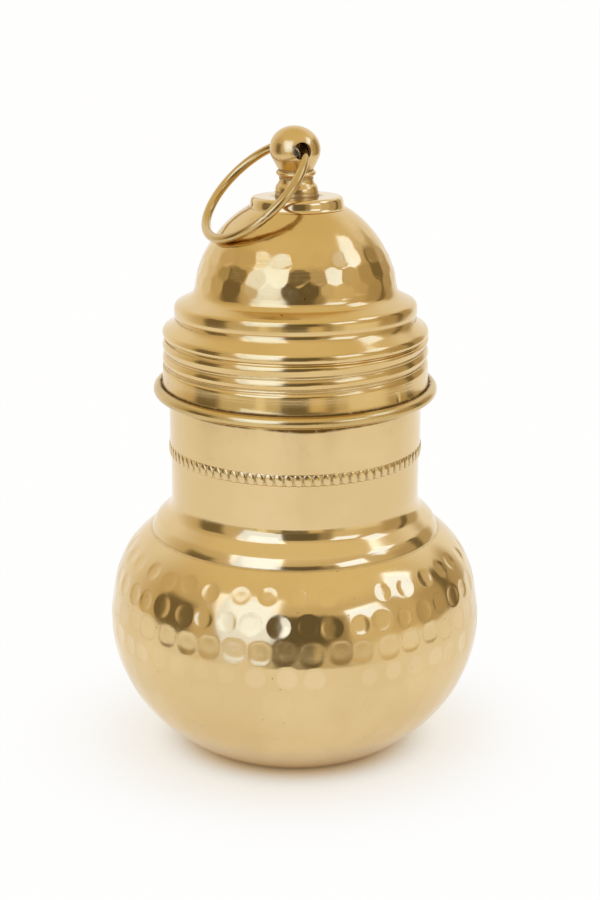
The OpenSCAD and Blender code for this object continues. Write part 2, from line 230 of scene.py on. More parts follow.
def brassFinish(name):
    look = brassLooks[name]
    finish = bpy.data.materials.new(name)
    finish.use_nodes = True
    tree = finish.node_tree
    shader = tree.nodes["Principled BSDF"]
    shader.inputs["Specular IOR Level"].default_value = 0.1          # dirt and painted shade hardly shine
    place = addNode(tree, "TexCoord").outputs["Object"]
    broad = cloud(tree, place, (1, 1, 1), 38, 3)                     # slow change of tone, some 25 mm
    fleck = cloud(tree, place, (1, 1, 1), 420, 4)                    # fine mottling
    turned = cloud(tree, place, (0.05, 0.05, 1), look["lines"], 3)   # left by turning and polishing
    beaten = cloud(tree, place, (1, 1, 0.8), 130, 2)                 # soft unevenness of the sheet
    scratch = cloud(tree, place, (1, 0.06, 0.5), 900, 2, 0.6)        # stray wiping marks
    cells = addNode(tree, "TexVoronoi", None, {"Scale": look["pitScale"], "Randomness": 1.0})
    tree.links.new(place, cells.inputs["Vector"])
    shade = addNode(tree, "SeparateColor")
    tree.links.new(cells.outputs["Color"], shade.inputs[0])
    chosen = remap(tree, shade.outputs[0], look["pitShare"], look["pitShare"] + 0.01, 0, 1)
    pits = sumUp(tree, "MULTIPLY", remap(tree, cells.outputs["Distance"], 0.025, 0.06, 1, 0, True), chosen)
    crease = addNode(tree, "Attribute", {"attribute_name": "crease"}).outputs["Fac"]
    wearAndSheen = addNode(tree, "Attribute", {"attribute_name": "wearAndSheen"}).outputs["Fac"]
    dirtAndShade = sumUp(tree, "MULTIPLY", crease, remap(tree, fleck, 0.3, 0.6, 0.5, 1.0))

    tone = mixTone(tree, remap(tree, broad, 0.35, 0.65, 0, 1, True), look["pale"], look["deep"])
    tone = mixTone(tree, remap(tree, fleck, 0.45, 0.8, 0, 0.22), tone, look["deep"])
    # wear lightens worn edges; on the bowl the same layer holds painted sheen in the hammer marks
    tone = mixTone(tree, sumUp(tree, "MULTIPLY", wearAndSheen, 0.5), tone, brassWear["wearAndSheen"])
    # dirt darkens creases; at some creases this is painted shade under parts and in gaps
    tone = mixTone(tree, dirtAndShade, tone, brassWear["dirtAndShade"])
    tone = mixTone(tree, pits, tone, brassWear["pit"])
    tree.links.new(tone, shader.inputs["Base Color"])
    tree.links.new(remap(tree, dirtAndShade, 0.15, 0.85, 1.0, 0.15), shader.inputs["Metallic"])

    rough = remap(tree, broad, 0.3, 0.7, look["rough"][0], look["rough"][1])
    rough = sumUp(tree, "ADD", rough, remap(tree, scratch, 0.58, 0.75, 0, 0.06))
    rough = sumUp(tree, "ADD", rough, sumUp(tree, "MULTIPLY", dirtAndShade, 0.3))
    tree.links.new(rough, shader.inputs["Roughness"])

    height = None
    for source, depth in ((turned, look["turned"]), (beaten, look["beaten"]), (pits, -look["pits"])):
        part = sumUp(tree, "MULTIPLY", source, depth / 10)
        height = part if height is None else sumUp(tree, "ADD", height, part)
    bump = addNode(tree, "Bump", None, {"Strength": 1.0, "Distance": 0.00001})
    tree.links.new(height, bump.inputs["Height"])
    tree.links.new(bump.outputs["Normal"], shader.inputs["Normal"])
    return finish


def rubberFinish():
    finish = bpy.data.materials.new("sealRubber")
    finish.use_nodes = True
    tree = finish.node_tree
    shader = tree.nodes["Principled BSDF"]
    place = addNode(tree, "TexCoord").outputs["Object"]
    dust = cloud(tree, place, (1, 1, 1), 260, 4)
    grain = cloud(tree, place, (1, 1, 1), 2600, 2)
    tone = mixTone(tree, dust, (0.020, 0.018, 0.016), (0.050, 0.045, 0.040))
    tree.links.new(tone, shader.inputs["Base Color"])
    tree.links.new(remap(tree, dust, 0.3, 0.7, 0.55, 0.8), shader.inputs["Roughness"])
    bump = addNode(tree, "Bump", None, {"Strength": 0.6, "Distance": 0.00002})
    tree.links.new(grain, bump.inputs["Height"])
    tree.links.new(bump.outputs["Normal"], shader.inputs["Normal"])
    return finish


finishes = {name: brassFinish(name) for name in brassLooks}
finishes["sealRubber"] = rubberFinish()
print("finishes made:", ", ".join(finishes))


# bowl

bowlMake = {
    "belly": 57.0, "bellyZ": 41.0, "depth": 47.2055, "rise": 38.0, "fullness": 2.6, "baseR": 28.25, "corner": 3.4,
    "lipR": 40.5, "lipZ": 71.995, "wall": 1.2, "steps": 704, "fineLow": 35.5, "fineTop": 67.2, "skinTop": 69.8,
    # the hammered belt lies a little deeper
    "beatenLow": 43.6, "beatenReach": 6.4, "beatenTop": 50.5, "beatenFade": 14, "beatenIn": 0.42,
    # rows of hammer marks: height, count, first angle, radius, depth, share missing, flatness, squareness,
    # painted sheen in the mark, darker ring round it
    "rows": [(63.7, 37, -106.9, 2.85, 0.27, 0.10, 1.5, 2.0, 0.0, 0.12),
             (56.0, 44, -96.3, 3.25, 0.28, 0.0, 1.4, 2.1, 0.0, 0.22),
             (48.4, 45, -94.6, 3.40, 0.085, 0.0, 2.6, 2.7, 0.15, 0.30),
             (40.6, 43, -94.3, 3.20, 0.26, 0.15, 1.7, 2.3, 0.9, 0.03),
             (33.0, 31, -90.0, 4.80, 0.11, 0.2, 1.0, 2.0, 0.15, 0.03),
             (25.0, 29, -95.0, 4.80, 0.11, 0.2, 1.0, 2.0, 0.12, 0.03),
             (17.0, 26, -88.0, 4.60, 0.12, 0.2, 1.0, 2.0, 0.10, 0.03),
             (9.5, 22, -93.0, 4.40, 0.12, 0.2, 1.0, 2.0, 0.10, 0.03)],
    "seed": 11,
}


def bowlRadius(z, make=bowlMake):
    if z < make["bellyZ"]:
        return make["belly"] * math.sqrt(max(0.0, 1 - ((make["bellyZ"] - z) / make["depth"]) ** 2))
    s = (z - make["bellyZ"]) / make["rise"]
    r = make["belly"] * (1 - s ** make["fullness"]) ** (1 / make["fullness"])
    t = min(1.0, max(0.0, (z - make["beatenLow"]) / make["beatenReach"]))
    return r - make["beatenIn"] * t * (2 - t) * (1 - ease((z - make["beatenTop"]) / make["beatenFade"]))


def shoulderHeight(r, make=bowlMake):      # height of the plain shoulder at a radius
    return make["bellyZ"] + make["rise"] * (1 - (r / make["belly"]) ** make["fullness"]) ** (1 / make["fullness"])


def bowlOutline():
    make = bowlMake
    belly, bellyZ, depth, wall = (make[k] for k in ("belly", "bellyZ", "depth", "wall"))
    start = -math.acos(make["baseR"] / belly) + math.radians(4)
    foot, flat = (belly * math.cos(start), bellyZ + depth * math.sin(start)), make["baseR"] - make["corner"]
    outer = [(0, 0)] + stretch((0, 0), (flat, 0), 5) + bend((flat, 0), (make["baseR"], 0), foot, 6)[1:]
    t = start
    while bellyZ + depth * math.sin(t) < make["fineLow"]:
        t += math.radians(1.6)
        outer.append((belly * math.cos(t), bellyZ + depth * math.sin(t)))
    z = outer[-1][1]
    while z < make["fineTop"]:             # close rows where the hammer marks are
        z += 0.5
        outer.append((bowlRadius(z), z))
    while outer[-1][0] > make["lipR"] + 0.5:
        r = outer[-1][0] - 0.55
        outer.append((r, shoulderHeight(r)))
    outer.append((make["lipR"], make["lipZ"]))
    inR, inRise, inDepth = belly - wall, make["rise"] - wall, depth - wall
    inner = []
    for i in range(10):
        z = make["lipZ"] - (make["lipZ"] - bellyZ) * i / 9
        s = (z - bellyZ) / inRise
        inner.append((inR * (1 - s ** make["fullness"]) ** (1 / make["fullness"]), z))
    for i in range(1, 11):
        z = bellyZ - (bellyZ - wall) * i / 10
        inner.append((inR * math.sqrt(max(0.0, 1 - ((bellyZ - z) / inDepth) ** 2)), z))
    return outer + inner + [(0, wall)]


def bowlMarks():
    make = bowlMake
    rng, glints = random.Random(make["seed"]), random.Random(make["seed"] + 1)
    marks = []
    for height, count, first, size, deep, missing, flat, square, shine, ring in make["rows"]:
        for i in range(count):
            gone = rng.random() < missing
            a = math.radians(first + (i + rng.uniform(-0.10, 0.10)) * 360 / count)
            z = height + rng.uniform(-0.55, 0.55)
            radius = size * rng.uniform(0.90, 1.07)
            depth = deep * rng.uniform(0.72, 1.18)
            wide = rng.uniform(0.92, 1.10)
            if not gone:
                r = bowlRadius(z)
                place = Vector((r * math.cos(a), r * math.sin(a), z)) * mm
                marks.append((place, radius * mm, depth * mm, wide, flat, square,
                              shine * glints.uniform(0.3, 1.0), ring * glints.uniform(0.2, 1.0)))
    return marks


def makeBowl():
    make = bowlMake
    bm = spinOutline(bowlOutline(), make["steps"])
    skin = [v for v in bm.verts if 0.5 * mm < v.co.z < make["skinTop"] * mm
            and math.hypot(v.co.x, v.co.y) > (bowlRadius(v.co.z / mm) - 0.5) * mm]
    bm.verts.index_update()
    places = [v.index for v in skin]
    shines, rings = pushMarks(skin, bowlMarks())
    bowl = addPiece(bm, "hammeredBowl", "pot", "bowl", finishes["hammeredBrass"], 40,
                    creases=[(28.2, 0.3, 1.0, 0.55), (44.1, 69.8, 0.3, 0.5)])
    wearAndSheen, crease = bowl.data.attributes["wearAndSheen"].data, bowl.data.attributes["crease"].data
    # painted sheen inside the marks, and darker rings round them
    for i, shine, ring in zip(places, shines, rings):
        wearAndSheen[i].value = shine
        crease[i].value = max(crease[i].value, ring)
    return bowl


makeBowl()


# collar between shoulder and neck

collarMake = {"foot": 44.0, "lipR": 40.5, "lipZ": 71.995, "neck": 37.85, "bore": 36.9, "ledge": 73.195, "steps": 240,
              "feather": (37.83, 80.6), "shelf": (38.6, 76.95), "hollow": (39.0, 76.2),
              "slope": ((39.65, 75.6), (42.0, 73.45)), "crest": (42.5, 72.98), "brow": (42.8, 72.45),
              "cheek": (43.75, 71.0)}


def makeCollar():
    make = collarMake
    footLine = []
    for i in range(7):
        r = make["foot"] + (make["lipR"] - make["foot"]) * i / 6
        footLine.append((r, shoulderHeight(r) + 0.01))
    top, shelf, slope, brow = (make[k] for k in ("feather", "shelf", "slope", "brow"))
    cove = bend(top, (top[0] + 0.12, top[1] - 2.4), shelf, 12) + bend(shelf, make["hollow"], slope[0], 10)[1:]
    swell = stretch(slope[0], slope[1], 8) + bend(slope[1], make["crest"], brow, 10)[1:]
    swell += bend(brow, make["cheek"], footLine[0], 16)[1:-1]
    line = footLine + [(make["bore"], make["lipZ"]), (make["bore"], make["ledge"])]
    line += [(make["neck"] - 0.05, make["ledge"]), (make["neck"] - 0.05, top[1] - 0.4)] + cove + swell
    bm = spinOutline(line, make["steps"])
    return addPiece(bm, "ringCollar", "pot", "collar", finishes["polishedBrass"], 32,
                    creases=[(44.0, 69.85, 0.25, 0.6)], wearAndSheen=[(42.6, 72.7, 0.6, 0.3)])


makeCollar()


# neck

neckMake = {"lower": 37.85, "upper": 38.25, "bore": 36.85, "sleeve": 37.3, "foot": 73.195, "beadZ": 95.495,
            "fineZ": 108, "sleeveZ": 116.995, "mouth": 129.495, "steps": 256,
            "underRimTop": 113.5, "underRimLow": 110.6, "underRimDrop": 0.6, "underRimFront": -108}


def neckRimDirtAndShadow(r, z, a):                    # dirt and painted shadow under the lid's rim, most of it on the side facing the camera
    make = neckMake
    front = math.remainder(a - math.radians(make["underRimFront"]), math.tau)
    low = make["underRimLow"] - make["underRimDrop"] * math.exp(-((front - 0.13) / 0.24) ** 2)
    left = 1.3 - 0.95 * math.exp(-((front + 0.27) / 0.10) ** 2)
    return left * ease((z - low + 0.35) / 0.7) * ease(make["underRimTop"] - z) if r > 38 else 0.0


def makeNeck():
    make = neckMake
    lower, upper, bore, sleeve, mouth = (make[k] for k in ("lower", "upper", "bore", "sleeve", "mouth"))
    line = [(bore, make["foot"]), (lower, make["foot"])]
    line += stretch(line[-1], (lower, make["beadZ"]), 8) + [(upper, make["beadZ"])]
    line += stretch(line[-1], (upper, make["fineZ"]), 4)
    line += stretch((upper, make["fineZ"]), (upper, make["sleeveZ"]), 40) + [(sleeve, make["sleeveZ"])]
    line += stretch(line[-1], (sleeve, mouth - 0.2), 3)
    line += [(sleeve - 0.1, mouth), (bore + 0.1, mouth), (bore, mouth - 0.2)]
    bm = spinOutline(line, make["steps"])
    return addPiece(bm, "plainNeck", "pot", "neck_tube", finishes["polishedBrass"], 32,
                    creases=[(37.9, 93.6, 0.3, 0.4)], grimeAndShade=neckRimDirtAndShadow)


makeNeck()


# bead row round the neck

beadMake = {"z": 95.495, "count": 85, "first": -94.0, "half": (0.36, 1.44, 1.95), "tilt": 18, "centre": 38.24,
            "strip": 38.28, "stripHalf": 1.8, "inner": (37.87, 38.26), "steps": 256}


def beadCrescentShade(r, z, a):                    # painted shade: a dark crescent at the left of every bead
    make = beadMake
    if abs(z - make["z"]) >= make["stripHalf"] + 0.1:
        return 0.0
    t = ((math.degrees(a) - make["first"]) * make["count"] / 360) % 1 - 0.5
    return 0.9 * (1 - ease(t / 0.24 if t > 0 else -t / 0.09))


def makeBeads():
    make = beadMake
    z, half, strip, inner = (make[k] for k in ("z", "stripHalf", "strip", "inner"))
    line = [(inner[0], z - half), (strip - 0.3, z - half), (strip, z - half + 0.3), (strip, z + half - 0.1),
            (strip - 0.03, z + half), (inner[1], z + half), (inner[1], z), (inner[0], z)]
    bm = spinOutline(line, make["steps"])
    lean = Matrix.Rotation(math.radians(make["tilt"]), 4, "X")
    size = Matrix.Diagonal((make["half"][0] * mm, make["half"][1] * mm, make["half"][2] * mm, 1))
    spot = Matrix.Translation((make["centre"] * mm, 0, z * mm))
    for i in range(make["count"]):
        turn = Matrix.Rotation(math.radians(make["first"] + 360 * i / make["count"]), 4, "Z")
        bmesh.ops.create_uvsphere(bm, u_segments=12, v_segments=8, radius=1, matrix=turn @ spot @ lean @ size)
    return addPiece(bm, "beadRow", "pot", "bead_band", finishes["polishedBrass"], 45,
                    grimeAndShade=beadCrescentShade)


makeBeads()


# screw thread at the mouth and in the lid's skirt

threadMake = {"pitch": 4.0, "depth": 0.8, "phase": 130.795, "top": 130.2, "low": 120.795, "roll": 1.2,
              "ridge": 0.40, "ridgeHalf": 0.25, "ridgeStart": 0.8, "groove": 0.38,
              "neckRoot": 38.3, "sleeveZ": 116.995, "mouth": 129.495, "sleeveBore": 37.4,
              "seam": -59.0625, "seamTop": 119.4, "seamDepth": 0.05, "seamHalf": 0.13,
              "skirtOut": 39.4, "wall": 0.7, "bandTop": 40.2, "bandFoot": 40.5, "bandLow": 115.62,
              "blank": (41.0, 39.0), "steps": 256}
# the cap sits a little askew: slopes that set in at a height and grow over a length
askewMake = {"towards": -101, "slopes": [(124, 6.8, 0.012), (130.8, 6, 0.054), (148, 18, -0.024)]}


def askewSide():
    a = math.radians(askewMake["towards"])
    return Vector((math.cos(a), math.sin(a), 0))


def setAskew(bm):
    side = askewSide()
    for v in bm.verts:
        z = v.co.z / mm
        rise = sum(slope * ease((z - start) / length) for start, length, slope in askewMake["slopes"])
        v.co.z += rise * v.co.dot(side)
    bm.normal_update()


def threadWave(a, z, roll):                # right-handed, 0 at the root and 1 at the crest
    make = threadMake
    return abs(math.cos(math.pi * (z - make["phase"] + 1) / make["pitch"] - a / 2)) ** roll


def rootGap(a, z):                         # millimetres from the middle of the thread's root
    return math.asin(min(1.0, threadWave(a, z, 1))) * threadMake["pitch"] / math.pi


def threadGrime(r, z, a):                  # dirt along the root
    return 0.6 * max(0.0, 1 - threadWave(a, z, 2) / 0.07) if z >= threadMake["low"] else 0.0


def skirtGrime(r, z, a):                   # dirt in the seam, old polish on both sides of the fine ridge
    make = threadMake
    if z < make["low"]:
        return 1.2 if abs(math.degrees(a) - make["seam"]) < 0.1 and r > 39.8 and z < make["seamTop"] else 0.0
    return 0.55 * math.exp(-((rootGap(a, z) - make["groove"]) / 0.13) ** 2) * ease((make["top"] - z) / 0.7)


def makeMouthThread():
    make = threadMake
    low, mouth, root = make["sleeveZ"], make["mouth"], make["neckRoot"]
    line = [(make["sleeveBore"], low), (root, low)]
    line += stretch((root, low), (root, mouth), int((mouth - low) / 0.25)) + [(make["sleeveBore"], mouth)]
    bm = spinOutline(line, make["steps"])
    for v in bm.verts:
        r, z, a = math.hypot(v.co.x, v.co.y) / mm, v.co.z / mm, math.atan2(v.co.y, v.co.x)
        if r > root - 0.1:
            fade = ease((z - low - 0.6) / 1.4) * ease((mouth - z) / 1.2)
            grow = 1 + make["depth"] * threadWave(a, z, 2) * fade / r
            v.co.x *= grow
            v.co.y *= grow
    return addPiece(bm, "mouthThread", "pot", "mouth_thread", finishes["polishedBrass"], 50,
                    grimeAndShade=threadGrime)


def skirtRadius(a, z):
    make = threadMake
    if z < make["low"]:
        t = (make["low"] - z) / (make["low"] - make["bandLow"])
        return make["bandTop"] + (make["bandFoot"] - make["bandTop"]) * t ** 4
    up = ease((z - make["low"]) / 1.0)
    wave = (1 - up + up * threadWave(a, z, make["roll"])) * ease((make["top"] - z) / 0.7)
    return make["skirtOut"] + (make["bandTop"] - make["skirtOut"]) * wave


def makeSkirt():
    make = threadMake
    low, top, ridgeLow = make["bandLow"], make["top"], make["low"] + make["ridgeStart"]
    rows = int((top - low) / 0.125)
    outer, inner = make["blank"]                                             # straight walls, shaped below
    line = [(outer, low)] + stretch((outer, low), (outer, top), rows)
    line += [(inner, top)] + stretch((inner, top), (inner, low), rows // 3)
    bm = spinOutline(line, make["steps"])
    for v in bm.verts:
        a, z = math.atan2(v.co.y, v.co.x), v.co.z / mm
        outside = math.hypot(v.co.x, v.co.y) > (outer + inner) / 2 * mm
        r = skirtRadius(a, z) - (0 if outside else make["wall"])
        if outside and ridgeLow < z < top - 0.5:                             # fine ridge along the thread's root
            ridge = make["ridge"] * math.exp(-(rootGap(a, z) / make["ridgeHalf"]) ** 2)
            r += ridge * ease((z - ridgeLow) / 0.6)
        off = (math.degrees(a) - make["seam"]) * make["steps"] / 360         # columns away from the upright seam
        if outside and z < make["seamTop"] and abs(off) < 1.2:
            if abs(off) < 0.5:
                r -= make["seamDepth"]
            else:
                a = math.radians(make["seam"] + math.copysign(make["seamHalf"], off))
        v.co.x, v.co.y = r * mm * math.cos(a), r * mm * math.sin(a)
    setAskew(bm)
    # the crease at the band's foot is painted shade in the gap above the rim wire
    return addPiece(bm, "rolledSkirt", "lid", "lid_skirt", finishes["spunBrass"], 60,
                    creases=[(40.5, 115.75, 0.45, 1.5)], grimeAndShade=skirtGrime)


makeMouthThread()
makeSkirt()


# wire rim round the lid's foot

rimMake = {"radius": 41.2, "z": 113.859, "wire": 1.85, "steps": 256}


def makeRim():
    make = rimMake
    bm = spinOutline(arcLine(make["radius"], make["z"], make["wire"], 0, 345, 23), make["steps"])
    # painted shade with some dirt: in the gap above the wire and under it
    creases = [(40.5, 115.7, 0.6, 1.5), (41.0, 111.9, 0.6, 0.9), (40.2, 112.5, 0.9, 1.2)]
    return addPiece(bm, "rimWire", "lid", "rim_ring", finishes["rimBrass"], 60,
                    creases=creases, wearAndSheen=[(42.9, 114.5, 0.7, 0.5)])


makeRim()


# domed cap with its two steps

capMake = {"low": 130.2, "skirtOut": 39.4, "swell": 40.2, "crease": (36.3, 136.0), "ledge": 36.65,
           "foot": (30.4, 145.2), "radius": 29.6, "middle": 143.509, "fuller": 0.75, "fullerTop": 163,
           "fullerLow": 148, "top": 169.695, "seat": 13.8, "hole": 2.65, "wall": 1.0,
           "steps": 320, "seed": 5,
           # rows of planishing flats: height, count, first angle, reach, depth
           "rows": [(148.6, 32, -101, 4.4, 0.16), (153.6, 31, -96, 4.4, 0.16), (158.3, 28, -104, 4.2, 0.11),
                    (162.6, 24, -99, 4.0, 0.06), (166.2, 18, -93, 3.8, 0.03)]}


def domeRadius(z, make=capMake):           # fuller towards its foot than a plain ball
    fuller = 1 - ease((z - make["fullerLow"]) / (make["fullerTop"] - make["fullerLow"]))
    return math.sqrt(make["radius"] ** 2 - (z - make["middle"]) ** 2) + make["fuller"] * fuller


def capOutline():
    make = capMake
    low, swell, ledge, crease, foot = (make[k] for k in ("low", "swell", "ledge", "crease", "foot"))
    line = [(make["skirtOut"], low)]
    line += bend((swell - 0.55, low + 0.2), (swell, low + 0.5), (swell, low + 1.3), 5)
    line += bend(line[-1], (swell - 0.05, low + 2.2), (swell - 0.9, low + 2.75), 8)[1:]
    line += stretch(line[-1], (crease[0] + 1.7, crease[1] - 2.15), 4)
    line += bend(line[-1], (crease[0] + 0.06, crease[1] - 1.0), crease, 12)[1:]
    line += bend(crease, (ledge - 0.05, crease[1] + 0.35), (ledge, crease[1] + 1.35), 6)[1:]
    line += bend((ledge, crease[1] + 2.55), (ledge, crease[1] + 4.25), (ledge - 1.3, crease[1] + 4.85), 12)
    line += stretch(line[-1], (foot[0] + 2.5, foot[1] - 3.1), 5)
    line += bend(line[-1], (foot[0] + 0.3, foot[1] - 2.15), foot, 14)[1:]
    start = math.asin((foot[1] + 0.4 - make["middle"]) / make["radius"])
    end = math.acos(make["seat"] / make["radius"])
    for i in range(61):
        z = make["middle"] + make["radius"] * math.sin(start + (end - start) * i / 60)
        line.append((domeRadius(z), z))
    return line + stretch(line[-1], (make["hole"], make["top"]), 4)


def capFlats(centre):
    make = capMake
    rng = random.Random(make["seed"])
    flats = []
    for height, count, first, reach, sag in make["rows"]:
        for i in range(count):
            a = math.radians(first + (i + rng.uniform(-0.16, 0.16)) * 360 / count)
            z = height + rng.uniform(-0.6, 0.6)
            r = domeRadius(z)
            place = Vector((r * math.cos(a), r * math.sin(a), z)) * mm
            way = (place - centre).normalized()
            way = (way + Vector([rng.uniform(-0.026, 0.026) for k in range(3)])).normalized()
            flats.append((place, way, reach * mm, sag * rng.uniform(0.7, 1.15) * mm))
    return flats


def makeCap():
    make = capMake
    low, swell, ledge, crease, foot = (make[k] for k in ("low", "swell", "ledge", "crease", "foot"))
    outline = capOutline()
    coarse = outline[:-4:2] + outline[-4:]
    bm = spinOutline(outline + insideLine(coarse, make["wall"])[::-1], make["steps"])
    centre = Vector((0, 0, make["middle"])) * mm
    skin = [v for v in bm.verts if (v.co - centre).length > (make["radius"] - 0.1) * mm
            and v.co.z > (foot[1] + 0.3) * mm and math.hypot(v.co.x, v.co.y) > make["seat"] * mm]
    pressFlats(skin, capFlats(centre))
    setAskew(bm)
    creases = [(39.45, low + 0.05, 0.4, 0.8), (crease[0], crease[1], 0.35, 0.7), (13.9, 169.6, 0.4, 0.5)]
    return addPiece(bm, "planishedCap", "lid", "lid_cap", finishes["spunBrass"], 30,
                    creases=creases, wearAndSheen=[(swell, low + 1.4, 0.7, 0.4), (ledge, crease[1] + 2.2, 0.8, 0.4)])


makeCap()


# disc, knob and carrying ring

knobMake = {"discR": 14.1, "discTilt": 0.026, "discLow": 169.25, "seatZ": 169.72, "discTop": 172.55, "discSteps": 192,
            "ballZ": 186.6, "ballR": 7.55, "ballHigh": 6.85, "holeZ": 186.95, "hole": 2.6, "discHole": 2.65,
            "stud": 2.5, "studLow": 162.495, "shift": (0.29, -0.09), "lean": -0.039, "leanLow": 173, "steps": 128,
            # the knob's mouldings, each a start, a pull and an end
            "bulb": ((6.42, 174.15), (6.35, 175.5), (5.7, 176.15)),
            "waist": ((5.7, 176.15), (5.15, 176.7), (5.1, 177.7)),
            "fillet": ((5.18, 178.6), (6.68, 179.5), (5.26, 180.35)),
            "throat": ((5.22, 180.65), (6.3, 182.5), (6.98, 184.0))}


def makeDisc():
    make = knobMake
    low, top, edge, hole, seat = (make[k] for k in ("discLow", "discTop", "discR", "discHole", "seatZ"))
    line = [(hole, seat)] + stretch((hole, seat), (edge - 0.75, seat), 4) + [(edge + 0.5, low - 0.45)]
    line += bend((edge + 0.68, low - 0.35), (edge + 0.02, low + 0.1), (edge - 0.1, low + 1.35), 12)
    line += bend((edge - 0.1, low + 1.35), (edge - 0.25, top - 0.05), (edge - 1.45, top), 14)[1:]
    line += stretch((edge - 1.45, top), (hole, top), 5)
    bm = spinOutline(line, make["discSteps"])
    setAskew(bm)
    side = askewSide()
    for v in bm.verts:
        v.co.z += make["discTilt"] * v.co.dot(side)
    bmesh.ops.translate(bm, vec=(make["shift"][0] * mm, make["shift"][1] * mm, 0), verts=bm.verts)
    return addPiece(bm, "knobDisc", "lid", "knob_disc", finishes["polishedBrass"], 40,
                    creases=[(6.7, top, 0.5, 0.8), (edge, low, 0.3, 0.5)], wearAndSheen=[(edge - 0.4, top - 0.4, 0.6, 0.4)])


def holeShadeAndDirt(r, z, a):                    # painted shade inside the cross hole, with old polish and dirt
    off = math.hypot(r * math.cos(a), z - knobMake["holeZ"])
    return 0.97 if off < knobMake["hole"] + 0.04 and r > 0.5 and abs(z - knobMake["holeZ"]) < 3 else 0.0


def knobOutline():
    make = knobMake
    stud, low, top = make["stud"], make["studLow"], make["discTop"]
    line = [(0, low), (stud - 0.4, low), (stud, low + 0.4), (stud, top - 0.35)]
    line += [(6.3, top - 0.35), (6.5, top - 0.15), (6.54, top + 0.15), (6.5, 173.75), (6.40, 173.95)]
    line += bend(*make["bulb"], 8) + bend(*make["waist"], 8)[1:] + [(5.1, 178.2)]
    line += bend(*make["fillet"], 10) + bend(*make["throat"], 10)
    start = math.asin((make["throat"][2][1] - make["ballZ"]) / make["ballHigh"])
    for i in range(1, 33):
        a = start + (math.pi / 2 - start) * i / 32
        line.append((make["ballR"] * math.cos(a) if i < 32 else 0, make["ballZ"] + make["ballHigh"] * math.sin(a)))
    return line


def crossHole():                           # the drill that makes the ring's hole, with rounded ends
    hole, end = knobMake["hole"], [(2.8, 7.5), (2.95, 12), (0, 12)]
    line = [(r, -y) for r, y in end[::-1]] + [(hole, -6.8)] + stretch((hole, -6.8), (hole, 6.8), 16) + end
    drill = spinOutline(line, 64)
    place = Matrix.Translation((0, 0, knobMake["holeZ"] * mm)) @ Matrix.Rotation(math.pi / 2, 4, "X")
    bmesh.ops.transform(drill, matrix=place, verts=drill.verts)
    return drill


def makeKnob():
    make = knobMake
    parts = []
    for label, source in (("knobBlank", spinOutline(knobOutline(), make["steps"])), ("knobDrill", crossHole())):
        mesh = bpy.data.meshes.new(label)
        source.to_mesh(mesh)
        source.free()
        parts.append(bpy.data.objects.new(label, mesh))
        scene.collection.objects.link(parts[-1])
    cut = parts[0].modifiers.new("crossHole", "BOOLEAN")
    cut.operation, cut.solver, cut.object = "DIFFERENCE", "EXACT", parts[1]
    drilled = bpy.data.meshes.new_from_object(parts[0].evaluated_get(bpy.context.evaluated_depsgraph_get()))
    bm = bmesh.new()
    bm.from_mesh(drilled)
    for part in parts:
        mesh = part.data
        bpy.data.objects.remove(part)
        bpy.data.meshes.remove(mesh)
    bpy.data.meshes.remove(drilled)
    creases = [(5.1, 178.25, 0.35, 0.8), (5.22, 180.55, 0.35, 0.75)]
    creases += [(6.6, make["discTop"], 0.4, 0.9), (6.4, 174.0, 0.25, 0.6)]
    piece = addPiece(bm, "turnedKnob", "lid", "knob", finishes["satinBrass"], 28,
                     creases=creases, wearAndSheen=[(make["ballR"], make["ballZ"] + 2, 2.5, 0.3)], grimeAndShade=holeShadeAndDirt)
    shift = Vector((*make["shift"], 0)) * mm
    for v in piece.data.vertices:                # the knob leans a little to the left
        v.co += shift * (1 + make["lean"] / make["shift"][0] * max(0.0, v.co.z / mm - make["leanLow"]))
    return piece


ringMake = {"hang": (0.2, 1.0, 186.55), "radius": 18.65, "wire": 1.41, "reach": 17.5, "twist": 5.4, "lean": 43.4,
            "seam": -106, "seamHalf": 1.3, "seamIn": 0.10, "steps": 184}


def makeCarryRing():
    make = ringMake
    bm = spinOutline(arcLine(make["radius"], 0, make["wire"], 0, 342, 19), make["steps"])
    for v in bm.verts:                       # butt seam where the wire's ends meet
        a = math.degrees(math.atan2(v.co.y, v.co.x))
        near = math.exp(-((a - make["seam"]) / make["seamHalf"]) ** 2)
        flat = Vector((v.co.x, v.co.y, 0)).normalized() * make["radius"] * mm
        v.co = flat + (v.co - flat) * (1 - make["seamIn"] * near)
    lean = Matrix.Rotation(math.radians(-make["lean"]), 4, "Y") @ Matrix.Rotation(math.radians(make["twist"]), 4, "X")
    place = Matrix.Translation(Vector(make["hang"]) * mm) @ lean @ Matrix.Translation((-make["reach"] * mm, 0, 0))
    bmesh.ops.transform(bm, matrix=place, verts=bm.verts)
    return addPiece(bm, "carryRing", "ring", "carry_ring", finishes["wireBrass"], 60)


makeDisc()
makeKnob()
makeCarryRing()

for node, finish in (("seal_ring", "sealRubber"), ("stud_washer", "plainBrass"), ("stud_nut", "plainBrass")):
    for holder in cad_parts[node].material_slots:
        holder.material = finishes[finish]
print("inner nodes dressed")


# camera, table and studio light

cameraMake = {"place": (-0.2220, -0.6831, 0.3097), "turn": -18.124, "tilt": 73.25, "roll": 0.206, "lens": 97.81}


def makeCamera():
    make = cameraMake
    data = bpy.data.cameras.new("photoCamera")
    data.sensor_width, data.lens = 36, make["lens"]
    data.clip_start, data.clip_end = 0.01, 50
    camera = bpy.data.objects.new("photoCamera", data)
    way = Matrix.Translation(make["place"])
    for key, axis in (("turn", "Z"), ("tilt", "X"), ("roll", "Z")):
        way = way @ Matrix.Rotation(math.radians(make[key]), 4, axis)
    camera.matrix_world = way
    scene.collection.objects.link(camera)
    scene.camera = camera


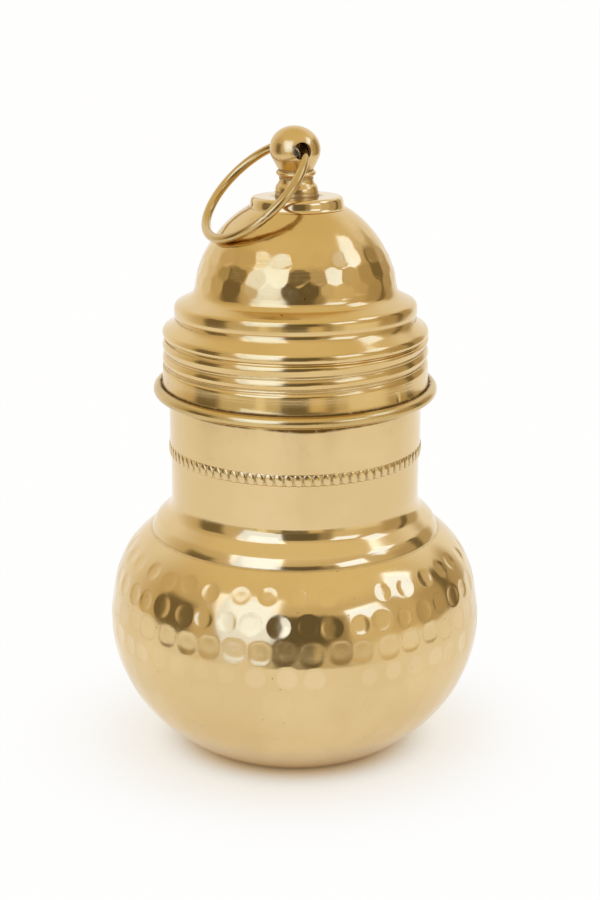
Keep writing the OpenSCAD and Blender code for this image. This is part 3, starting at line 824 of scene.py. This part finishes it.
def seenRays(tree):                        # what is looked at, straight or mirrored, and not the light cast on things
    rays = addNode(tree, "LightPath")
    seen = sumUp(tree, "MAXIMUM", rays.outputs["Is Camera Ray"], rays.outputs["Is Glossy Ray"])
    return rays, sumUp(tree, "MAXIMUM", seen, rays.outputs["Is Transmission Ray"])


studioTurn = -18                           # table and studio face the camera

# each reach is a pair of distances from the pot's middle, in metres
tableMake = {"half": 0.455, "back": 3.2, "steps": 48,
             "footTone": (0.90, 0.655, 0.21), "tone": (0.92, 0.915, 0.905), "footReach": (0.026, 0.041),
             "glowNear": (1.0, 0.945, 0.825), "glowFar": (1.0, 0.997, 0.99), "glowReach": (0.030, 0.075),
             "lift": (0.66, 0.97), "liftReach": (0.035, 0.095),
             "shade": (0.08, 1.0), "shadeReach": (0.0275, 0.047)}


def tableCover():
    make = tableMake
    cover = bpy.data.materials.new("paleTable")
    cover.use_nodes = True
    tree = cover.node_tree
    tree.nodes.remove(tree.nodes["Principled BSDF"])
    paper = addNode(tree, "BsdfDiffuse")
    glow = addNode(tree, "Emission", None, {"Strength": 1.0})
    seen = seenRays(tree)[1]
    blend = addNode(tree, "MixShader")
    far = addNode(tree, "VectorMath", {"operation": "LENGTH"})
    tree.links.new(addNode(tree, "TexCoord").outputs["Object"], far.inputs[0])
    far = far.outputs["Value"]
    warmth = remap(tree, far, *make["footReach"], 0, 1, True)           # warm light thrown back by the brass
    tree.links.new(mixTone(tree, warmth, make["footTone"], make["tone"]), paper.inputs["Color"])
    # the glow is warmed near the foot too: the same painted warm light
    warmth = remap(tree, far, *make["glowReach"], 0, 1, True)
    tree.links.new(mixTone(tree, warmth, make["glowNear"], make["glowFar"]), glow.inputs["Color"])
    lift = remap(tree, far, *make["liftReach"], *make["lift"], True)
    shade = remap(tree, far, *make["shadeReach"], *make["shade"], True)  # deep shadow at the foot
    lift = sumUp(tree, "MULTIPLY", lift, shade)
    tree.links.new(sumUp(tree, "MULTIPLY", seen, lift), blend.inputs[0])
    tree.links.new(paper.outputs[0], blend.inputs[1])
    tree.links.new(glow.outputs[0], blend.inputs[2])
    tree.links.new(blend.outputs[0], tree.nodes["Material Output"].inputs["Surface"])
    return cover


def makeTable():
    make = tableMake
    half, back = make["half"], make["back"]
    bm = bmesh.new()
    rim = [bm.verts.new((-half, back, 0)), bm.verts.new((-half, 0, 0))]
    bm.edges.new(rim)
    front = bmesh.ops.spin(bm, geom=[rim[1]], cent=(0, 0, 0), axis=(0, 0, 1), angle=math.pi, steps=make["steps"])
    corner = bm.verts.new((half, back, 0))
    bm.edges.new((front["geom_last"][0], corner))
    bm.edges.new((corner, rim[0]))
    bmesh.ops.contextual_create(bm, geom=bm.edges[:])
    turn = Matrix.Rotation(math.radians(studioTurn), 3, "Z")
    bmesh.ops.rotate(bm, verts=bm.verts, cent=(0, 0, 0), matrix=turn)
    bmesh.ops.recalc_face_normals(bm, faces=bm.faces)
    for face in bm.faces:
        if face.normal.z < 0:
            face.normal_flip()
    mesh = bpy.data.meshes.new("paleTable")
    bm.to_mesh(mesh)
    bm.free()
    table = bpy.data.objects.new("paleTable", mesh)
    scene.collection.objects.link(table)
    mesh.materials.append(tableCover())


studioMake = {
    "ambient": (0.90, 0.83, 0.68), "wall": (0.72, 0.61, 0.40),
    "back": (1.0, 0.985, 0.95), "backFrom": (98, 138),
    "ceiling": (0.87, 0.77, 0.515), "ceilingFrom": (32, 56),
    # cards: side angle from, to, height from, to, softness, tone
    "cards": [
        (-67, -34, -40, -4, 1.5, (0.68, 0.62, 0.44)), (-34, -25, -40, -4, 1.5, (1.0, 0.95, 0.76)),
        (-25, -12, -40, -4, 1.5, (0.68, 0.62, 0.44)), (12, 26, -40, -4, 1.5, (0.81, 0.68, 0.40)),
        (26, 36, -40, -4, 2.0, (0.42, 0.34, 0.19)), (36, 46, -40, -4, 2.0, (0.68, 0.62, 0.44)),
        (46, 86, -40, -4, 2.0, (0.98, 0.94, 0.78)), (-12, 12, -40, -4, 1.0, (0.19, 0.155, 0.095)),
        (33, 62, -4, 22, 4.0, (0.84, 0.74, 0.52)), (20, 34, -4, 26, 3.0, (0.40, 0.325, 0.195)),
        (-18, 22, -4, 29, 2.5, (0.16, 0.133, 0.08)), (-95, -68, -40, 23, 4.0, (0.22, 0.175, 0.10)),
        (86, 142, -40, 24, 6.0, (0.56, 0.455, 0.28)), (111, 121, -40, 28, 2.0, (0.20, 0.16, 0.09))],
    "lampAway": 3.5, "lampHigh": 0.1, "lampPower": 4,
    "backing": (0.24, 0.20, 0.13), "backingSoft": 3,  # the lamps' dark housings
    # lamps: side angle, height angle, half spread across and up, roll, brightness
    "lamps": [
        {"side": -32.5, "up": 24, "half": (19.5, 28), "roll": 8, "glow": (0.70, 0.92, 1.50)},
        {"side": -30, "up": 29, "half": (13, 18), "roll": 8, "glow": (0.18, 0.26, 0.42)},
        {"side": 88, "up": 40, "half": (14, 8), "roll": 34, "glow": (0.84, 1.13, 1.95)},
        {"side": 48, "up": 24, "half": (11.5, 8.5), "roll": 5, "glow": (0.82, 1.12, 1.95)}],
}


def studioWay(side, up):
    a, e = math.radians(side), math.radians(up)
    way = Vector((math.sin(a) * math.cos(e), -math.cos(a) * math.cos(e), math.sin(e)))
    return Matrix.Rotation(math.radians(studioTurn), 3, "Z") @ way


def plainMath(tree, operation, value):
    node = addNode(tree, "Math", {"operation": operation})
    tree.links.new(value, node.inputs[0])
    return node.outputs[0]


def cardMask(tree, side, up, left, right, low, high, soft):
    mask = sumUp(tree, "MULTIPLY", remap(tree, side, left - soft, left + soft, 0, 1, True),
                 remap(tree, side, right - soft, right + soft, 1, 0, True))
    mask = sumUp(tree, "MULTIPLY", mask, remap(tree, up, high - soft, high + soft, 1, 0, True))
    return sumUp(tree, "MULTIPLY", mask, remap(tree, up, low - soft, low + soft, 0, 1, True))


def lampMask(tree, side, up, lamp):
    turned, flat = math.radians(lamp["roll"]), math.cos(math.radians(lamp["up"]))
    across = sumUp(tree, "MULTIPLY", sumUp(tree, "SUBTRACT", side, lamp["side"]), flat)
    above = sumUp(tree, "SUBTRACT", up, lamp["up"])
    c, s = math.cos(turned), math.sin(turned)
    edges = []
    for half, a, b in zip(lamp["half"], (c, -s), (s, c)):
        off = sumUp(tree, "ADD", sumUp(tree, "MULTIPLY", across, a), sumUp(tree, "MULTIPLY", above, b))
        far = plainMath(tree, "ABSOLUTE", off)
        edges.append(remap(tree, far, half - studioMake["backingSoft"], half, 1, 0, True))
    return sumUp(tree, "MULTIPLY", *edges)


def makeRoom():
    make = studioMake
    world = bpy.data.worlds.new("softStudio")
    scene.world = world
    world.use_nodes = True
    tree = world.node_tree
    turn = addNode(tree, "Mapping", None, {"Rotation": (0, 0, math.radians(-studioTurn))})
    tree.links.new(addNode(tree, "TexCoord").outputs["Generated"], turn.inputs["Vector"])
    axes = addNode(tree, "SeparateXYZ")
    tree.links.new(turn.outputs[0], axes.inputs[0])
    side = sumUp(tree, "ARCTAN2", axes.outputs["X"], sumUp(tree, "MULTIPLY", axes.outputs["Y"], -1.0))
    side = sumUp(tree, "MULTIPLY", side, 180 / math.pi)
    up = sumUp(tree, "MULTIPLY", plainMath(tree, "ARCSINE", axes.outputs["Z"]), 180 / math.pi)
    away = plainMath(tree, "ABSOLUTE", side)
    tone = mixTone(tree, remap(tree, away, *make["backFrom"], 0, 1, True), make["wall"], make["back"])
    tone = mixTone(tree, remap(tree, up, *make["ceilingFrom"], 0, 1, True), tone, make["ceiling"])
    for *edges, card in make["cards"]:
        tone = mixTone(tree, cardMask(tree, side, up, *edges), tone, card)
    for lamp in make["lamps"]:
        tone = mixTone(tree, lampMask(tree, side, up, lamp), tone, make["backing"])
    rays, seen = seenRays(tree)
    tone = mixTone(tree, rays.outputs["Is Camera Ray"], tone, (1.0, 1.0, 1.0))
    tone = mixTone(tree, seen, make["ambient"], tone)
    tree.links.new(tone, tree.nodes["Background"].inputs["Color"])


def makeLamps():
    make = studioMake
    for i, lamp in enumerate(make["lamps"]):
        data = bpy.data.lights.new("softbox%d" % i, "AREA")
        data.shape = "RECTANGLE"
        data.size, data.size_y = [2 * make["lampAway"] * math.tan(math.radians(half)) for half in lamp["half"]]
        top = max(lamp["glow"])
        data.color = [part / top for part in lamp["glow"]]
        data.energy = top * make["lampPower"] * data.size * data.size_y
        box = bpy.data.objects.new("softbox%d" % i, data)
        way = studioWay(lamp["side"], lamp["up"])
        spot = Matrix.Translation(way * make["lampAway"] + Vector((0, 0, make["lampHigh"])))
        turned = Matrix.Rotation(math.radians(lamp["roll"]), 4, "Z")
        box.matrix_world = spot @ way.to_track_quat("Z", "Y").to_matrix().to_4x4() @ turned
        box.visible_camera = False
        scene.collection.objects.link(box)


makeCamera()
makeTable()
makeRoom()
makeLamps()
print("camera, table and light set")

bpy.context.view_layer.update()
